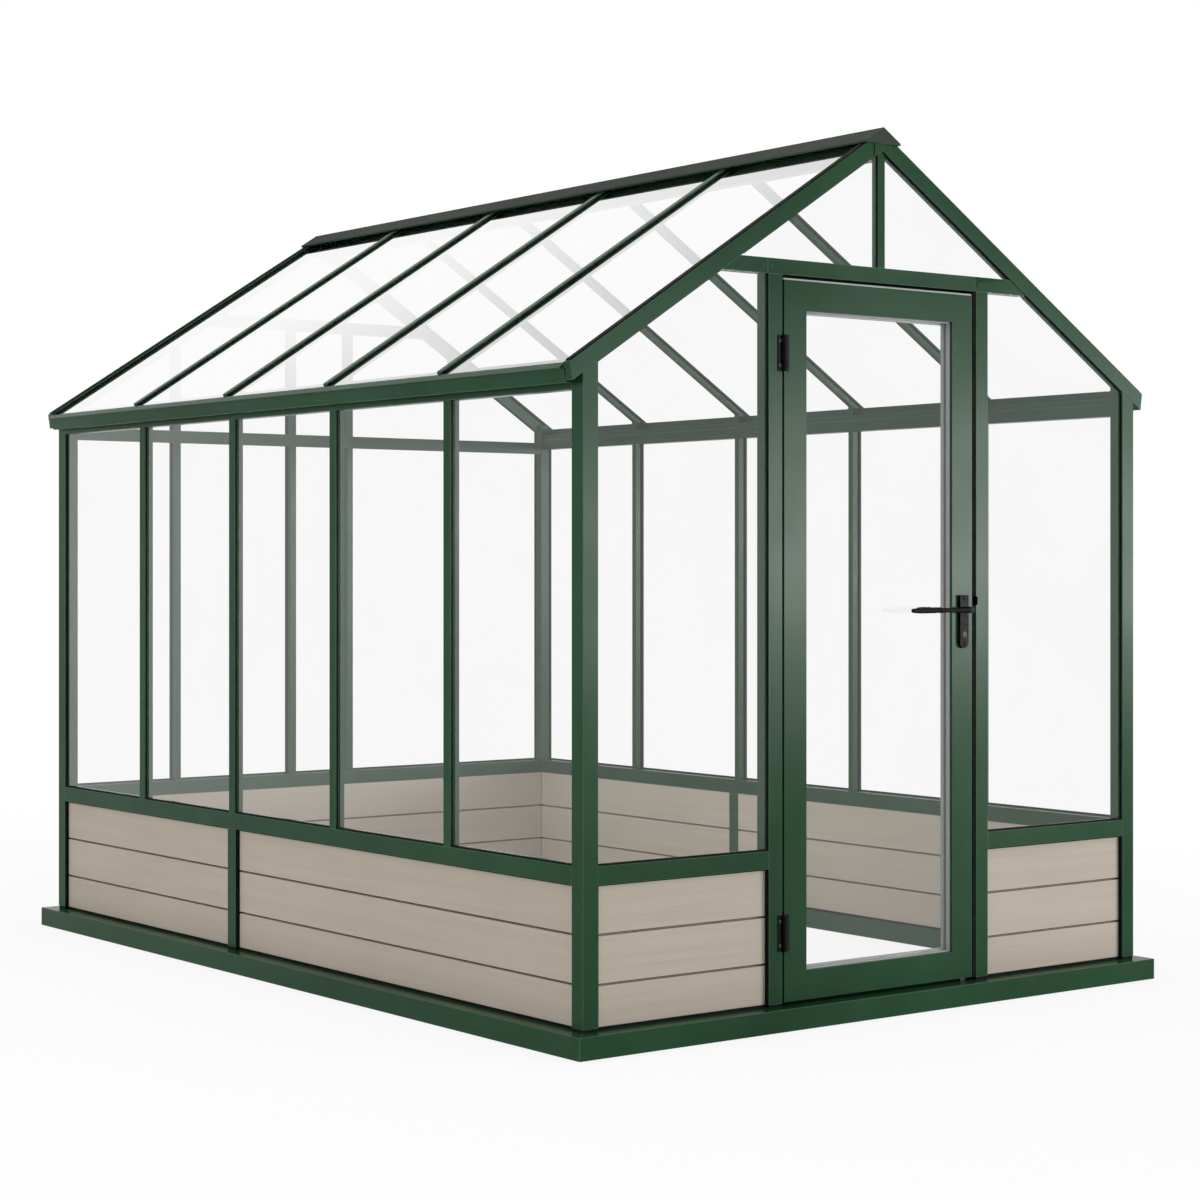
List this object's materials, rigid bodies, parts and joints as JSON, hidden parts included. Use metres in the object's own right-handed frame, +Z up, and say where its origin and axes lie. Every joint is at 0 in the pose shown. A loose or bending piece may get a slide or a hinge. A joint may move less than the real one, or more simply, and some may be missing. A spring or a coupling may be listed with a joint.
{
  "type": "aluminium greenhouse",
  "caption": "Walk-in gabled greenhouse with a coated aluminium frame, clear glazing over a boarded dwarf wall, side gutters and a hinged, lever-latched glazed door.",
  "frame": {"origin": "on the ground at the middle of the base frame", "axes": "+X to the right seen from the door side, +Y from the door gable to the rear gable, +Z up"},
  "size_m": [2.242, 3.191, 2.5263],
  "materials": {
    "green_coat": "satin green powder coat",
    "board": "sawn and weathered",
    "clear_glass": "clear",
    "black_rubber": "matt",
    "black_metal": "satin black",
    "steel": "zinc plated",
    "brass": "turned and blackened",
    "bare_aluminium": "satin"
  },
  "bodies": {
    "frame": {"apex_plates": "green_coat", "base_corner_brackets": "steel", "base_rails_end": "green_coat", "base_rails_side": "green_coat", "boards_front": "board", "boards_rear": "board", "boards_side": "board", "corner_posts_front": "green_coat", "corner_posts_rear": "green_coat", "door_jambs": "green_coat", "door_stops": "black_rubber", "eave_beams": "green_coat", "eave_cleats": "green_coat", "frame_rivets": "green_coat", "front_panes": "clear_glass", "front_tie": "green_coat", "glazing_seals": "black_rubber", "gutters": "green_coat", "hinge_frame_leaves": "black_metal", "hinge_pins": "steel", "keep": "black_metal", "king_post": "green_coat", "knee_posts": "green_coat", "knee_rail_rear": "green_coat", "knee_rails_front": "green_coat", "knee_rails_side": "green_coat", "post_feet": "black_rubber", "rafters_front": "green_coat", "rafters_rear": "green_coat", "rear_bars": "green_coat", "rear_panes": "clear_glass", "rear_rails": "green_coat", "ridge_beam": "green_coat", "ridge_cap": "green_coat", "roof_bars": "green_coat", "roof_panes": "clear_glass", "side_bars": "green_coat", "side_panes": "clear_glass", "sill_seals": "black_rubber", "verge_strips": "black_rubber"},
    "door": {"door_stile_hinge": "green_coat", "door_stile_latch": "green_coat", "door_rails": "green_coat", "door_corner_cleats": "bare_aluminium", "door_pane": "clear_glass", "door_glass_seal": "bare_aluminium", "door_bead": "bare_aluminium", "door_head_strip": "bare_aluminium", "hinge_door_leaves": "black_metal", "handle_plates": "black_metal", "door_screws": "black_metal", "lock_case": "steel", "lock_cylinder": "brass"},
    "levers": {"lever_handles": "black_metal", "lever_spindle": "steel", "lock_follower": "steel"},
    "latch": {"latch_bolt": "black_metal"},
    "plug": {"cylinder_plug": "brass"},
    "deadbolt_body": {"deadbolt": "steel"}
  },
  "joints": [
    {"name": "door_swing", "type": "hinge", "parent": "frame", "child": "door", "pos_m": [-0.374, -1.557, 1], "axis": [0, 0, -1], "range_deg": [0, 105]},
    {"name": "lever_turn", "type": "hinge", "parent": "door", "child": "levers", "pos_m": [0.32, -1.53, 1.149], "axis": [0, -1, 0], "range_deg": [0, 40], "stiffness_Nm_per_rad": 2.5, "springref_deg": -22.92},
    {"name": "latch_slide", "type": "slide", "parent": "door", "child": "latch", "axis": [-1, 0, 0], "range_m": [0, 0.02]},
    {"name": "plug_turn", "type": "hinge", "parent": "door", "child": "plug", "pos_m": [0.32, -1.53, 1.077], "axis": [0, 1, 0], "range_deg": [0, 90]},
    {"name": "deadbolt_slide", "type": "slide", "parent": "door", "child": "deadbolt_body", "axis": [1, 0, 0], "range_m": [0, 0.02]}
  ],
  "couplings": [
    {"joint": "latch_slide", "follows": "lever_turn", "m_per_rad": 0.028648},
    {"joint": "plug_turn", "follows": "deadbolt_slide", "rad_per_m": 78.54}
  ]
}
